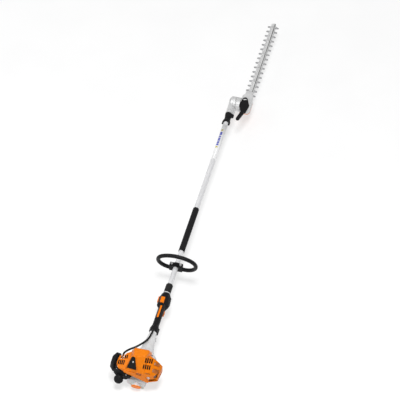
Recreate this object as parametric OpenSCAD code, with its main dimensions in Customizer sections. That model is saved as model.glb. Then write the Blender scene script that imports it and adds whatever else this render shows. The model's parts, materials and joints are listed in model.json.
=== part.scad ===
// Long-reach petrol hedge trimmer: engine, control handle, shaft and tilting cutter head.
// +Y runs along the shaft to the cutter, +Z is up, the origin is on the ground under the fuel tank.

/* [Shaft] */
// Height of the shaft axis above the ground
axis_z = 115; // [110:1:130]
// Outside diameter of the drive tube
tube_d = 25.4; // [25.4:0.1:25.4]
// Wall of the drive tube
tube_wall = 1.5; // [1.2:0.1:1.8]
// Diameter of the drive shaft inside the tube
drive_shaft_d = 8; // [7:0.5:9]
// Number of bushes that carry the drive shaft
bush_count = 7; // [5:1:9]

/* [Stations along the shaft] */
// Rear end of the control handle
handle_y = 217; // [217:1:225]
// Rear end of the bulge that holds the switches
switch_y = 372; // [370:1:376]
// Front end of the control handle
handle_end_y = 460; // [458:1:462]
// Centre of the loop handle's clamp
loop_y = 640; // [610:1:680]
// Rear end of the foam grip
foam_y = 736; // [730:1:760]
// Length of the foam grip
foam_len = 286; // [200:1:320]
// Rear end of the lock sleeve
sleeve_y = 1622; // [1621:1:1623]
// Hinge of the cutter head
hinge_y = 1765; // [1764:1:1766]

/* [Loop handle] */
// Half width of the loop at its centre line
loop_half_w = 93; // [85:1:100]
// Radius of the loop's tube
loop_r = 9.8; // [9:0.1:11]
// Sideways offset of the loop from the shaft axis
loop_x = 8; // [0:1:10]
// How far the loop leans back
loop_lean = 14; // [5:1:20]

/* [Cutter] */
// Distance of the cutter's centre line from the shaft axis
blade_x = 66; // [66:1:66]
// Distance from one tooth to the next
tooth_pitch = 34; // [34:1:34]
// Teeth on each side of a blade
tooth_count = 16; // [10:1:16]
// Width over the teeth
blade_w = 58; // [54:1:60]
// Travel of each blade from its middle position
blade_throw = 8.5; // [6:0.5:8.5]

/* [Engine] */
// Bore of the cylinder
bore_d = 35; // [34:0.5:36]
// Stroke of the piston
stroke = 25; // [22:1:26]
// Radius of the cooling fan
fan_r = 44; // [40:1:46]

/* [Hidden] */

$fn = 48;
tiny = 0.02;
gap = 0.3;
run_gap = 0.05;

orange = [0.98, 0.45, 0.03];
black = [0.10, 0.10, 0.11];
dark_grey = [0.28, 0.29, 0.30];
off_white = [0.90, 0.90, 0.88];
silver = [0.76, 0.77, 0.78];
steel = [0.66, 0.67, 0.70];
brass = [0.78, 0.62, 0.30];

tube_r = tube_d / 2;
bore_r = tube_r - tube_wall;
shaft_r = drive_shaft_d / 2;
tube_start_y = 110;
first_bush_y = 120;
tube_end_y = hinge_y - 30;

// Engine stations, all measured along the shaft.
cylinder_y = 10;
case_rear_y = cylinder_y - 28;
case_front_y = cylinder_y + 32;
bearing_w = 8;
bearing_r = 14;
crank_r = 6;
web_r = 23.5;
web_in_y = 5.3;
web_out_y = 14;
crank_throw = stroke / 2;
rod_len = 48;
rod_w = 8;
pin_r = 5;
wrist_h = crank_throw + rod_len;
fan_y = case_front_y + 4;
housing_neck_y = 216;
tank_top_h = -52;
drum_r = 27.5;
stub_r = 8;

// Rounded corner points of the engine shroud's three lobes, at the corner balls' centres.
shroud_ball = 8;
shroud_wall = 3;
hump_points = [[-29, 24, 100], [30, 24, 101], [-24, -6, 92], [22, -4, 96],
    [-54, -40, 26], [20, -43, 24], [-48, 50, 50], [34, 46, 62]];
left_points = [[-50, 34, 54], [-102, 26, 22], [-111, -20, 16], [-104, -31, 14], [-60, -40, 26],
    [-100, 26, -2], [-50, 30, -10], [-60, -40, 0]];
right_points = [[40, 20, 66], [68, 22, 38], [90, 28, 8], [88, 26, -28], [82, -26, -30],
    [84, -24, -4], [58, -36, 12], [20, -43, 24], [38, -42, -32],
    [40, 26, -30]];
// Room for the engine between the lobes.
bay_points = [[-54, -38, 20], [22, -40, 18], [-50, 28, 48], [40, 20, 56], [-60, 28, -30],
    [44, 26, -60], [44, -38, -60], [-60, -38, -30]];
// Outline of the flat band that joins the lobes across the back, as [x, height] pairs.
band_outline = [[-70, 24], [30, 14], [48, -34], [38, -40], [-70, 4]];
band_y = -50;
band_t = 4;
// Lower edge of the shroud: this point and the slope down to the right.
shroud_edge_x = 42;
shroud_edge_h = -36.5;
shroud_edge_slope = 22;

// Blade stack, heights from the shaft axis to the upper faces.
upper_blade_h = -21.4;
blade_t = 2;
blade_gap = 0.3;
lower_blade_h = upper_blade_h - blade_t - blade_gap;
guide_h = upper_blade_h + blade_gap;
guide_t = 6;
blade_start_y = hinge_y + 42;
tooth_start_y = 1862;
blade_body_w = 27;
slot_half_w = blade_body_w / 2 + 0.6;
guide_w = 24;
guide_start_y = hinge_y + 28;
blade_tip_y = tooth_start_y + tooth_count * tooth_pitch - 10;
blade_bolt_y = [for (i = [0:5]) 1878 + i * 3 * tooth_pitch - (i > 0 ? 17 : 0)];
slot_len = 2 * blade_throw + 9;

// Head stations.
head_left_x = 14.4;
hub_r = 36;
arm_left_x = -17;
arm_right_x = 14;
cross_shaft_r = 6;
gear_teeth = 24;
pinion_teeth = 12;
pinion_root_r = 7.4;
pinion_tip_r = 10.2;
crown_r = 21.5;
cover_top_h = -30;

module on_axis() translate([0, 0, axis_z]) children();
// Cylinder along Y from y1 to y2, in shaft coordinates.
module y_rod(y1, y2, r) translate([0, y2, 0]) rotate([90, 0, 0]) cylinder(h = y2 - y1, r = r);
// Cylinder along X from x1 to x2.
module x_rod(x1, x2, r) translate([x1, 0, 0]) rotate([0, 90, 0]) cylinder(h = x2 - x1, r = r);
module y_ring(y1, y2, r_in, r_out) difference() {
    y_rod(y1, y2, r_out);
    y_rod(y1 - 1, y2 + 1, r_in);
}
// Box from its low corner to its high corner.
module box(low, high) translate(low) cube(high - low);
// Solid of revolution about the shaft axis; the outline is [radius, y] pairs.
module y_turned(outline) rotate([-90, 0, 0]) rotate_extrude() polygon(outline);
// Ball-cornered lump through the given centres.
module lump(points, r) hull() for (p = points) translate(p) sphere(r = r, $fn = 20);

// ---------- engine ----------
intake_h = 46.5;
exhaust_h = 50.5;
module at_cylinder(h = 0) translate([0, cylinder_y, h]) children();
module crankcase() color(silver) on_axis() difference() {
    union() {
        y_rod(case_rear_y, case_front_y, 36);
        at_cylinder() box([-25, -22, 10], [25, 22, 38]);
        at_cylinder() box([-34, -20, tank_top_h], [34, 20, -20]);
    }
    at_cylinder() y_rod(-20, 20, web_r + 1.5);
    y_rod(case_rear_y - 1, case_front_y + 1, bearing_r);
    at_cylinder() cylinder(h = 39, r = bore_d / 2 + 1);
}
module cylinder_fin(h) translate([0, 0, h]) cylinder(h = 2, r = 25);
module cylinder_head() color(silver) on_axis() at_cylinder() difference() {
    union() {
        translate([0, 0, 38]) cylinder(h = 42, r = 21);
        box([-25, -22, 38], [25, 22, 42]);
        for (i = [0:6]) cylinder_fin(46 + 5.4 * i);
        box([-38, -6, 42], [-18, 6, 51]);
        box([18, -6, 44], [30, 6, 57]);
    }
    translate([0, 0, 37]) cylinder(h = 38.5, r = bore_d / 2 + run_gap);
    translate([0, 0, intake_h]) x_rod(-41, 0, 4);
    translate([0, 0, exhaust_h]) x_rod(0, 37, 4.5);
    plug_frame() cylinder(h = 20, r = 5);
    plug_frame() translate([0, 0, 19.5]) cylinder(h = 20, r = 7.5);
}
// Spark plug axis: leans back out of the cylinder head.
module plug_frame() translate([0, 0, 70]) rotate([80, 0, 0]) children();
module piston() color(steel) on_axis() at_cylinder(wrist_h) difference() {
    translate([0, 0, -11]) cylinder(h = 23, r = bore_d / 2);
    translate([0, 0, -12]) cylinder(h = 20.5, r = bore_d / 2 - 3);
    x_rod(-20, 20, pin_r);
    for (h = [6.5, 9]) translate([0, 0, h]) difference() {
        cylinder(h = 1.2, r = bore_d / 2 + 1);
        translate([0, 0, -1]) cylinder(h = 4, r = bore_d / 2 - 1.2);
    }
}
module rod_pins() color(steel) on_axis() {
    at_cylinder(wrist_h) x_rod(-16, 16, pin_r);
    at_cylinder(crank_throw) y_rod(-web_in_y + gap, web_in_y - gap, pin_r);
}
module connecting_rod() color(steel) on_axis() at_cylinder() difference() {
    union() {
        translate([0, 0, wrist_h]) x_rod(-rod_w / 2, rod_w / 2, 8);
        translate([0, 0, crank_throw]) y_rod(-rod_w / 2, rod_w / 2, 9);
        box([-3, -3, crank_throw + 6], [3, 3, wrist_h - 5]);
    }
    translate([0, 0, wrist_h]) x_rod(-rod_w, rod_w, pin_r);
    translate([0, 0, crank_throw]) y_rod(-rod_w, rod_w, pin_r);
}
module crankshaft() color(steel) on_axis() {
    at_cylinder() y_rod(web_in_y, web_out_y, web_r);
    at_cylinder() y_rod(-web_out_y, -web_in_y, web_r);
    y_rod(cylinder_y + web_out_y - tiny, fan_y + 31, crank_r);
    y_rod(case_rear_y - 18, cylinder_y - web_out_y + tiny, crank_r);
}
module main_bearings() color(steel) on_axis() {
    y_ring(case_rear_y, case_rear_y + bearing_w, crank_r + run_gap, bearing_r);
    y_ring(case_front_y - bearing_w, case_front_y, crank_r + run_gap, bearing_r);
}
module flywheel_fan() color(dark_grey) on_axis() translate([0, fan_y, 0]) difference() {
    union() {
        y_rod(0, 18, 11);
        y_rod(0, 4, fan_r);
        for (i = [0:13]) rotate([0, i * 360 / 14, 0]) box([22, 3, -1], [fan_r, 15, 1]);
    }
    y_rod(-1, 19, crank_r);
}
module clutch_shoes() color(steel) on_axis() translate([0, fan_y, 0]) difference() {
    y_rod(20, 30, 24.5);
    y_rod(19, 31, crank_r);
    box([-30, 19, -1.5], [30, 31, 1.5]);
    for (side = [-1, 1]) translate([side * 14, 0, side * 7]) y_rod(19, 31, 3);
}
module clutch_drum() color(steel) on_axis() translate([0, fan_y, 0]) difference() {
    union() {
        y_rod(20, 36, drum_r);
        y_rod(35, 60, stub_r);
    }
    y_rod(19, 33, drum_r - 1.5);
    y_rod(32, 61, shaft_r);
}
// Fan housing and clamp neck, one tapering casting.
module fan_housing() color(off_white) on_axis() {
    neck_r = 17.5;
    rim_y = case_front_y;
    difference() {
        union() {
            y_turned([[0, rim_y], [58, rim_y], [60, rim_y + 3], [60, rim_y + 18],
                [49, rim_y + 29], [39, rim_y + 46], [32, rim_y + 66], [27, rim_y + 98],
                [neck_r + 1, 205], [neck_r, housing_neck_y], [0, housing_neck_y]]);
        }
        y_turned([[0, rim_y + 2.5], [50, rim_y + 2.5], [50, rim_y + 18], [31, rim_y + 28],
            [31, rim_y + 42], [0, rim_y + 42]]);
        y_rod(rim_y - 1, rim_y + 20, 20);
        y_rod(rim_y + 40, tube_start_y + 10, stub_r + run_gap);
        y_rod(tube_start_y, housing_neck_y + 1, tube_r);
        for (i = [0:11]) rotate([0, i * 30 + 15, 0]) box([48, rim_y + 6, -4], [61, rim_y + 14, 4]);
        box([-1, 150, -30], [1, housing_neck_y + 1, 0]);
        for (y = neck_screw_y) translate([0, y, 0]) x_rod(5, 40, 2.05);
    }
}
neck_screw_y = [172, 186];
// Outer radius of the tapering neck at a station.
function cone_r(y) = 27 - (y - 140) * 8.5 / 65;
module housing_screws() color(steel) on_axis() {
    for (y = neck_screw_y) translate([0, y, 0]) {
        x_rod(tube_r + 0.5, cone_r(y) + 1.2, 2);
        x_rod(cone_r(y) + 0.9, cone_r(y) + 3.9, 4);
    }
    plug_cover_frame() translate([0, 9, 3]) cylinder(h = 2, r = 4);
    wing_screw_frame() cylinder(h = 2.5, r = 4);
    translate([-59, 0, -13]) y_rod(-48.5, -46.5, 3.5);
}
// Seat of the screw on top of the left wing, square to its slope.
module wing_screw_frame() translate([-82, 18, 35.5]) rotate([0, -36, 0]) children();

// A row of cooling slots. All slots are cut along one direction, up and to the rear; size is
// width and length, lean tilts each slot and drop tilts the row.
module slot_row(centre, count, pitch, size, lean, drop, depth) translate(centre)
    rotate([41.9, 0, 14.5]) for (i = [0:count - 1]) let (along = (i - (count - 1) / 2) * pitch)
    translate([along * cos(drop), -along * sin(drop), 0]) rotate([0, 0, -lean])
    cube([size[0], size[1], depth], center = true);
// The tilted plane of the triangular plug cover on the back of the hump.
module plug_cover_frame() translate([-28, -31, 64]) rotate([61, 0, 0]) children();
module plug_cover_outline() polygon([[-5, 33], [4, 33], [7, 29], [19, -30], [-28, -26], [-10, 28]]);
module engine_shroud() color(orange) on_axis() difference() {
    union() {
        lump(hump_points, shroud_ball);
        lump(left_points, shroud_ball);
        lump(right_points, shroud_ball);
        translate([0, band_y + band_t, 0]) rotate([90, 0, 0]) linear_extrude(band_t) polygon(band_outline);
    }
    inner = shroud_ball - shroud_wall;
    lump(hump_points, inner);
    lump(left_points, inner);
    lump(right_points, inner);
    lump(bay_points, inner);
    at_cylinder() cylinder(h = 60, r = 26);
    box([-49, 3.5, 36], [-34, 16.5, 51.5]);
    box([28, 3.5, 40], [40.5, 16.5, 57.5]);
    // open underside and front
    translate([shroud_edge_x, -100, shroud_edge_h]) rotate([0, shroud_edge_slope, 0])
        translate([-300, 0, -100]) cube([300, 200, 100]);
    box([-140, 26, -80], [140, 120, 46]);
    y_rod(case_front_y - 1, 120, 61);
    // cooling slots on both sides of the hump
    slot_row([40, -1, 67], 4, 9.5, [6.4, 22], 12, 11, 56);
    slot_row([34.6, -22.4, 45], 4, 9.5, [6.4, 21], 12, 12, 44);
    slot_row([-82, 15, 40], 4, 8.6, [5.8, 18], 15, -3, 40);
    slot_row([-89.5, -14.8, 33.6], 4, 8.2, [5.8, 21], 15, 3, 40);
    slot_row([44, -43, 23.6], 5, 5.4, [3, 7], 12, 12, 30);
    slot_row([2, -48, 11], 5, 5.4, [3, 9], 12, 14, 24);
    // finer grille on the right
    slot_row([75, 11, 36], 5, 5.4, [3, 17], 12, 22, 40);
    slot_row([76, -17, 20], 6, 5.4, [3, 19], 12, 20, 40);
    // silencer windows at the lower right
    box([40, -70, -10], [56, -20, 3]);
    box([72, -60, -11], [87, -12, 9]);
    box([48, -70, -30], [86, -20, -13]);
    box([80, -24, -30], [110, 20, -14]);
    plug_cover_frame() translate([0, 0, -16]) linear_extrude(40) plug_cover_outline();
}
module plug_cover() color(black) on_axis() plug_cover_frame() translate([0, 0, -5])
    linear_extrude(8) offset(delta = -gap) plug_cover_outline();
module air_filter_cover() color(black) on_axis() difference() {
    union() {
        lump([[-124, -32, -12], [-126, 40, -6], [-124, 38, 20], [-126, -22, 16],
            [-138, -16, -10], [-138, 30, -4], [-136, 26, 12], [-136, -10, 10]], 7);
        lump([[-124, 40, 19], [-111, 40, 17], [-124, 42, -4], [-111, 42, -4]], 7);
    }
    box([-132, -14, -8], [-118, 34, 18]);
}
module filter_element() color(off_white) on_axis() box([-131, -13, -7], [-121, 33, 17]);
// Cuts away everything above the shroud's sloping lower edge, lowered by a drop.
module above_edge(drop) translate([shroud_edge_x, -100, shroud_edge_h - drop])
    rotate([0, shroud_edge_slope, 0]) translate([-300, 0, 0]) cube([400, 200, 300]);
module below_edge(drop) translate([shroud_edge_x, -100, shroud_edge_h - drop])
    rotate([0, shroud_edge_slope, 0]) translate([-300, 0, -300]) cube([400, 200, 300]);
// Black base under the left lobe: the filter's back plate, its duct and a trim that holds the choke.
module filter_base() color(black) on_axis() difference() {
    skirt_drop = 13;
    union() {
        difference() {
            translate([0, 0, -30]) linear_extrude(60) difference() {
                polygon([[-34, -46.5], [-62, -46.5], [-106, -38], [-115, -24], [-115, 10],
                    [-112, 10], [-112, -23], [-104, -35], [-62, -43], [-34, -43]]);
            }
            above_edge(0.5);
            below_edge(skirt_drop);
        }
        box([-70, -45, -10], [-62, -8, -4]);
        translate([0, -42.2, 0]) rotate([90, 0, 0]) linear_extrude(3.6)
            polygon([[-119, 14], [-108, 15], [-99, 11.4], [-36, -12], [-36, -24], [-60, -50], [-99, -50],
                [-119, -14]]);
        box([-116, 0, -6], [-76, 18, 13.5]);
        box([-117, -28, -16], [-113, 24, 18]);
    }
    translate([-61, 8, 7]) x_rod(-60, -10, 5);
}
module carburetor() color(silver) on_axis() difference() {
    union() {
        box([-76, -8, -8], [-46, 24, 22]);
        box([-48, 4, 20], [-38, 16, 51]);
        box([-102, 18.2, -4], [-90, 26, 8]);
        box([-92, 18.2, -4], [-75, 22, 8]);
    }
    at_cylinder(intake_h) x_rod(-44, -37, 4);
    translate([-61, 8, 7]) x_rod(-16, 16, 5);
}
module choke_lever() color(black) on_axis() translate([-66, -51.8, -7]) {
    x_rod(-3, 3, 5);
    box([-3, -13, -2], [3, 0, 2]);
}
module primer_bulb() color(black) on_axis() translate([-45, -47.3, -17])
    rotate([90, 0, 0]) cylinder(h = 9, r = 9);
module muffler() color(silver) on_axis() difference() {
    union() {
        box([46, -25, -30], [76, 24, 2]);
        box([40, 6, 0], [72, 24, 20]);
        box([34.2, 4, 12], [40, 16, 57]);
        box([30, 4, 44], [35, 16, 57]);
        box([35.2, 6, 8], [42, 16, 18]);
    }
    box([48, -23, -28], [74, 22, 0]);
    at_cylinder(exhaust_h) x_rod(29, 36, 4.5);
    translate([61, 0, -20]) y_rod(-26, -22, 4);
}
module spark_plug() color(off_white) on_axis() at_cylinder() plug_frame() {
    translate([0, 0, 18]) cylinder(h = 2.2, r = 5 - run_gap);
    translate([0, 0, 20]) cylinder(h = 2.6, r = 6, $fn = 6);
    translate([0, 0, 22.5]) cylinder(h = 3.6, r = 4);
}
module starter_housing() color(off_white) on_axis() difference() {
    y_turned([[0, -42], [26, -42], [37, -36], [40, -30], [40, case_rear_y], [0, case_rear_y]]);
    y_turned([[0, -39.5], [25, -39.5], [35, -34], [37.5, -29], [37.5, -10], [0, -10]]);
}
module rope_pulley() color(black) on_axis() difference() {
    union() {
        y_rod(-36, -34, 28);
        y_rod(-34, -29, 24);
        y_rod(-29, -27, 28);
    }
    y_rod(-39, -27, crank_r + run_gap);
}
grip_tilt = 60;
module starter_grip() color(black) on_axis() translate([-92, -49.5, -44]) rotate([grip_tilt, 0, 0])
    difference() {
        rotate_extrude() polygon([[0, 0], [5, 0], [5, 5], [20.5, 8], [22.5, 12],
            [21, 18], [16, 23], [9, 25.5], [0, 26]]);
        for (i = [0:7]) rotate([0, 0, i * 45]) translate([23.5, 0, 4]) cylinder(h = 26, r = 3);
    }
// Ball centres of the tank: a narrow bottom and wide shoulders.
tank_ball = 10;
tank_points = concat([for (x = [-37, 15]) for (y = [-24, 24]) [x, y, -98]],
    [for (x = [-52, 21]) for (y = [-28, 28]) for (h = [-82, tank_top_h - tank_ball]) [x, y, h]]);
module fuel_tank() color(off_white) on_axis() difference() {
    union() {
        lump(tank_points, tank_ball);
        box([-40, -32, -axis_z], [18, 32, -104]);
        tank_cap_frame() translate([0, 0, -20]) cylinder(h = 20, r = 20);
    }
    lump(tank_points, tank_ball - shroud_wall);
    tank_cap_frame() cylinder(h = 40, r = 17, center = true);
}
module tank_cap_frame() translate([-13, -43.5, -87]) rotate([114, 0, 0]) children();
module fuel_cap() color(orange) on_axis() tank_cap_frame() {
    translate([0, 0, -8]) cylinder(h = 8.5, r = 17 - run_gap);
    translate([0, 0, gap]) cylinder(h = 5.5, r = 23);
}

// ---------- shaft ----------
module drive_tube() color(off_white) on_axis() y_ring(tube_start_y, tube_end_y, bore_r, tube_r);
module drive_shaft() color(steel) on_axis() y_rod(fan_y + 34, hinge_y - 14, shaft_r);
module shaft_bushes() color(brass) on_axis() {
    bush_len = 18;
    span = tube_end_y - 2 - bush_len - first_bush_y;
    for (i = [0:bush_count - 1]) translate([0, first_bush_y + i * span / (bush_count - 1), 0])
        y_ring(0, bush_len, shaft_r + run_gap, bore_r);
}
module foam_grip() color(black) on_axis() y_ring(foam_y, foam_y + foam_len, tube_r, 15);
module loop_frame() translate([0, loop_y, -12]) rotate([loop_lean, 0, 0]) children();
// Centre line of the loop in its own plane, as [x, height]: two side arcs and a flatter top arc.
side_r = 58;
side_x = loop_half_w - side_r;
meet = 55;
top_r = side_r + side_x / cos(meet);
top_h = side_r - (top_r - side_r) * sin(meet);
loop_line = concat(
    [for (a = [-90:10:50]) [loop_x + side_x + side_r * cos(a), side_r + side_r * sin(a)]],
    [for (a = [meet:7:180 - meet]) [loop_x + top_r * cos(a), top_h + top_r * sin(a)]],
    [for (a = [130:10:270]) [loop_x - side_x + side_r * cos(a), side_r + side_r * sin(a)]]);
loop_sides = 24;
module loop_ring() {
    n = len(loop_line);
    ring_points = [for (i = [0:n - 1])
        let (step = loop_line[(i + 1) % n] - loop_line[(i + n - 1) % n],
            out = [step[1], -step[0]] / norm(step), p = loop_line[i])
        for (j = [0:loop_sides - 1]) let (a = j * 360 / loop_sides)
        [p[0] + loop_r * cos(a) * out[0], loop_r * sin(a), p[1] + loop_r * cos(a) * out[1]]];
    polyhedron(ring_points, [for (i = [0:n - 1]) for (j = [0:loop_sides - 1])
        let (a = i * loop_sides + j, b = i * loop_sides + (j + 1) % loop_sides,
            c = (i + 1) % n * loop_sides + (j + 1) % loop_sides, d = (i + 1) % n * loop_sides + j)
        [a, d, c, b]]);
}
module loop_handle() color(black) on_axis() difference() {
    union() {
        loop_frame() loop_ring();
        box([-32, loop_y - 12, -20], [32, loop_y + 12, -gap / 2]);
    }
    box([-33, loop_y - 13, -gap / 2], [33, loop_y + 13, 20]);
    y_rod(loop_y - 30, loop_y + 30, tube_r);
    for (x = [-22, 22]) translate([x, loop_y, -30]) cylinder(h = 40, r = 3.05);
}
module loop_clamp() color(black) on_axis() difference() {
    union() {
        box([-32, loop_y - 12, gap / 2], [32, loop_y + 12, 15]);
        y_rod(loop_y - 12, loop_y + 12, 19);
    }
    box([-40, loop_y - 20, -30], [40, loop_y + 20, gap / 2]);
    y_rod(loop_y - 30, loop_y + 30, tube_r);
    for (x = [-22, 22]) translate([x, loop_y, -1]) {
        cylinder(h = 40, r = 3.05);
    }
}
module clamp_bolts() color(steel) on_axis() for (x = [-22, 22]) translate([x, loop_y, 0]) {
    translate([0, 0, -17]) cylinder(h = 33, r = 3);
    translate([0, 0, 15]) cylinder(h = 5, r = 5.5);
}

// ---------- control handle ----------
trigger_pivot = [0, switch_y + 20, -24];
lockout_pivot = [0, 302, 19.2];
module handle_outer() {
    y_rod(258, handle_end_y, 15.8);
    y_turned([[0, handle_y], [19, handle_y], [20.5, 223], [20.5, 244], [15.8, 262], [0, 262]]);
    // flanks of the lower flare, the left one shorter
    for (flank = [[-15, 10], [15, 0]]) translate([flank[0], 0, -6]) y_rod(handle_y + flank[1], 248, 8.5);
    hull() {
        translate([0, 306, 8]) sphere(r = 11, $fn = 24);
        translate([0, 390, 10]) sphere(r = 11, $fn = 24);
    }
    hull() for (p = [[-14, switch_y + 18, -2], [14, switch_y + 24, -10], [-15, 434, -2],
        [15, 438, -5], [-5, 440, 12], [-5, 398, 13], [5, 436, 12], [0, switch_y + 14, -26],
        [13, 422, -29]]) translate(p) sphere(r = 14, $fn = 24);
    y_turned([[0, 432], [25, 432], [23, 450], [18.5, handle_end_y], [0, handle_end_y]]);
}
module handle_cuts() {
    y_rod(handle_y - 1, handle_end_y + 1, tube_r);
    // throttle trigger pocket
    box([-8.5, 310, -70], [13, switch_y + 27, -13.5]);
    // lockout strip pocket
    box([-5.4, 298, 13], [3.4, 376, 40]);
    // stop button pocket
    box([-13.4, 388, 14], [5.4, 422, 40]);
    // speed slider pocket
    box([-50, 400, -9], [-22.6, 450, 5]);
}
module handle_left() color(black) on_axis() difference() {
    handle_outer();
    handle_cuts();
    box([0, 200, -80], [80, 480, 80]);
    translate(trigger_pivot) x_rod(-11, 0, 2.5 + run_gap);
}
module handle_right() color(black) on_axis() difference() {
    handle_outer();
    handle_cuts();
    box([-80, 200, -80], [0, 480, 80]);
    translate(trigger_pivot) x_rod(0, 15, 2.5 + run_gap);
}
module throttle_trigger() color(orange) on_axis() difference() {
    union() {
        translate(trigger_pivot) x_rod(-10.5, 14.5, 2.5);
        hull() {
            translate(trigger_pivot) translate([0, -3, -2]) x_rod(-8, 12.5, 4);
            translate([0, 360, -40]) x_rod(-8, 12.5, 4);
            translate([0, 378, -43]) x_rod(-8, 12.5, 6);
        }
    }
    translate([0, 364, -61]) x_rod(-20, 20, 17);
}
module lockout_lever() color(orange) on_axis() {
    translate(lockout_pivot) translate([-1, 0, 0]) x_rod(-4, 4, 1.6);
    box([-5, 302, 17.6], [3, 372, 21]);
}
module stop_button() color(orange) on_axis() box([-13, 388.4, 18], [5, 421.6, 28.5]);
module speed_slider() color(orange) on_axis() box([-31.5, 404, -8.6], [-23, 438, 4.6]);
module rubber_collar() color(black) on_axis() {
    start = handle_end_y + 5;
    end = start + 55;
    difference() {
        union() {
            y_turned([[0, start], [15.6, start], [15.6, end - 10], [17, end - 8], [17, end - 4],
                [14.5, end], [0, end]]);
            for (i = [0:5]) y_rod(start + 3 + i * 7, start + 7 + i * 7, 17);
        }
        y_rod(start - 1, end + 1, tube_r);
    }
}
module collar_ring() color(off_white) on_axis()
    y_ring(handle_end_y, handle_end_y + 5, tube_r, 18.2);

// ---------- throttle cable ----------
cable_r = 4.8;
cable_sides = 10;
cable_route = [[1, 217.2, 23.4], [0, 190, 28], [-5, 154, 32.5], [-14, 130, 37], [-28, 107, 39.5],
    [-50, 84, 38], [-76, 70, 29], [-96, 58, 14], [-98, 40, 4], [-96, 27, 2]];
function cat_at(a, b, c, d, t) = 0.5 * ((2 * b) + (c - a) * t + (2 * a - 5 * b + 4 * c - d) * t * t
    + (3 * b - a - 3 * c + d) * t * t * t);
function route_point(k, t) = let (last = len(cable_route) - 1) cat_at(
    cable_route[max(k - 1, 0)], cable_route[k], cable_route[min(k + 1, last)],
    cable_route[min(k + 2, last)], t);
function unit(v) = v / norm(v);
module throttle_cable() color(black) on_axis() {
    steps = 4;
    spans = len(cable_route) - 1;
    path = [for (k = [0:spans - 1]) for (s = [0:steps - 1]) route_point(k, s / steps),
        cable_route[spans]];
    n = len(path);
    ring_points = [for (i = [0:n - 1])
        let (along = unit(path[min(i + 1, n - 1)] - path[max(i - 1, 0)]),
            side = unit(cross(along, [0, 0, 1])), rise = cross(side, along))
        for (j = [0:cable_sides - 1]) path[i] + cable_r * (cos(j * 360 / cable_sides) * side
            + sin(j * 360 / cable_sides) * rise)];
    walls = [for (i = [0:n - 2]) for (j = [0:cable_sides - 1])
        let (a = i * cable_sides + j, b = i * cable_sides + (j + 1) % cable_sides)
        [a, b, b + cable_sides, a + cable_sides]];
    polyhedron(ring_points, concat([[for (j = [cable_sides - 1:-1:0]) j]], walls,
        [[for (j = [0:cable_sides - 1]) (n - 1) * cable_sides + j]]));
}

// ---------- tilt lock ----------
bolt_x = 19.2;
sleeve_len = 61;
module lock_sleeve() color(black) on_axis() difference() {
    union() {
        y_turned([[0, sleeve_y], [20, sleeve_y], [20, sleeve_y + 8], [15.8, sleeve_y + 22],
            [15.8, sleeve_y + 36], [18.5, sleeve_y + 50], [19.5, sleeve_y + sleeve_len],
            [0, sleeve_y + sleeve_len]]);
        for (side = [-1, 1]) translate([side * 16, 0, 2]) y_rod(sleeve_y - 10, sleeve_y + 6, 4.6);
        translate([bolt_x + 1, 0, 0]) y_rod(sleeve_y + 46, sleeve_y + sleeve_len, 6.5);
    }
    y_rod(sleeve_y - 20, sleeve_y + 90, tube_r + run_gap);
    translate([bolt_x, 0, 0]) y_rod(sleeve_y + 49, sleeve_y + 90, 3);
    y_rod(sleeve_y + 8, sleeve_y + 56, 15);
}
module sleeve_spring() color(steel) on_axis() for (i = [0:6])
    translate([0, sleeve_y + 26 + i * 4.8, 0]) rotate([90, 0, 0])
    rotate_extrude() translate([13.8, 0]) circle(r = 0.9, $fn = 16);
module spring_seat() color(steel) on_axis() y_ring(sleeve_y + 22, sleeve_y + 24.5, tube_r, 14.7);
module lock_bolt() color(steel) on_axis() translate([bolt_x, 0, 0])
    y_rod(sleeve_y + 49, hinge_y - hub_r - 0.6, 3);

// ---------- cutter head ----------
module at_hinge() translate([0, hinge_y, 0]) children();
// Straight gear teeth round the X axis.
module pinion_teeth_x(x1, x2, bore) difference() {
    union() {
        x_rod(x1, x2, pinion_root_r);
        for (i = [0:pinion_teeth - 1]) rotate([i * 360 / pinion_teeth, 0, 0])
            translate([x1, 0, 0]) rotate([0, 90, 0]) linear_extrude(x2 - x1)
            polygon([[6.5, -1.5], [pinion_tip_r, -0.7], [pinion_tip_r, 0.7], [6.5, 1.5]]);
    }
    x_rod(x1 - 1, x2 + 1, bore);
}
// Flat ring of radial teeth standing up from z = 0.
module crown_teeth(height) for (i = [0:gear_teeth - 1]) rotate([0, 0, (i + 0.5) * 360 / gear_teeth])
    linear_extrude(height) polygon([[14, -0.7], [crown_r, -1.2], [crown_r, 1.2], [14, 0.7]]);
module gear_arm() color(silver) on_axis() difference() {
    start = sleeve_y + sleeve_len + 0.4;
    union() {
        y_rod(start, hinge_y - 10, 19.5);
        translate([bolt_x - 2, 0, 0]) y_rod(start + 4, hinge_y - 37, 7);
        at_hinge() rotate([0, 90, 0]) rotate_extrude() polygon([[0, arm_left_x], [24, arm_left_x],
            [36, arm_left_x + 10], [36, arm_right_x], [0, arm_right_x]]);
        box([-13, start + 12, -26], [8, hinge_y - 20, 26]);
    }
    y_rod(start - 1, tube_end_y, tube_r);
    y_rod(tube_end_y - 1, hinge_y - 10, 11.6);
    at_hinge() x_rod(-12, arm_right_x + 1, 24.5);
    at_hinge() x_rod(-15.5, -11, cross_shaft_r + run_gap);
    translate([bolt_x, 0, 0]) y_rod(start - 1, hinge_y - 20, 3 + run_gap);
    box([arm_right_x, hinge_y - 37, -40], [40, hinge_y + 40, 40]);
}
module shaft_pinion() color(steel) on_axis() translate([0, hinge_y - 22, 0])
    rotate([0, 0, -90]) pinion_teeth_x(0, 8, shaft_r);
module cross_shaft() color(steel) on_axis() at_hinge() {
    x_rod(-15, 52, cross_shaft_r);
    x_rod(10.6, 13, crown_r);
    translate([10.8, 0, 0]) rotate([0, -90, 0]) crown_teeth(2.6);
    pinion_teeth_x(44, 52, cross_shaft_r - tiny);
}
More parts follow.
